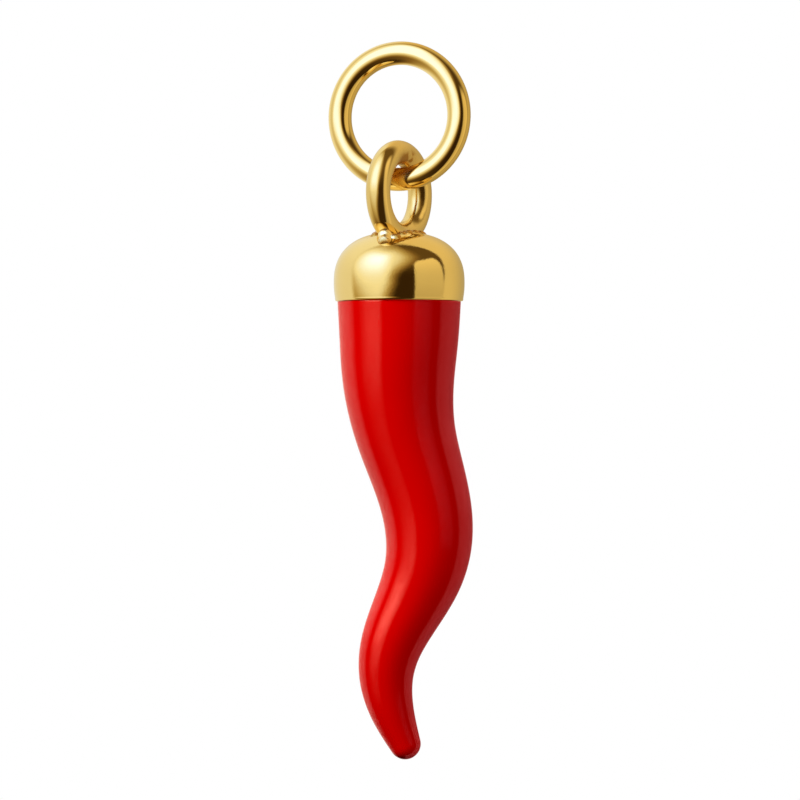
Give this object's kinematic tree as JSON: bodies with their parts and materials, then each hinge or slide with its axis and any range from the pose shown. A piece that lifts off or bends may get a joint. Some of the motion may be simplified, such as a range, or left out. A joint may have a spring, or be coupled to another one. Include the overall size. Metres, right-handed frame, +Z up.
{
  "type": "cornicello horn pendant",
  "caption": "Glossy red S-curved horn with a round tip, set in a gold domed cap whose soldered eye hangs in a gold jump ring.",
  "frame": {"origin": "inside top of the jump ring, where a chain or a larger ring carries the pendant", "axes": "+Z up along the pendant's plumb line, +X to the right and +Y away from the front, which the horn's S curve faces"},
  "size_m": [0.0077, 0.007, 0.0384],
  "materials": {
    "ring_gold": "polished gold plate",
    "cap_gold": "polished gold plate, solder at the eye's foot left lumpy",
    "horn_red": "glossy opaque red resin"
  },
  "bodies": {
    "ring": {"jump_ring": "ring_gold"},
    "charm": {"cap": "cap_gold", "horn": "horn_red"}
  },
  "joints": [
    {"name": "charm_swing", "type": "hinge", "parent": "ring", "child": "charm", "pos_m": [0, 0, -0.00613], "axis": [0.9426, -0.3338, 0], "range_deg": [-140, 140]}
  ]
}
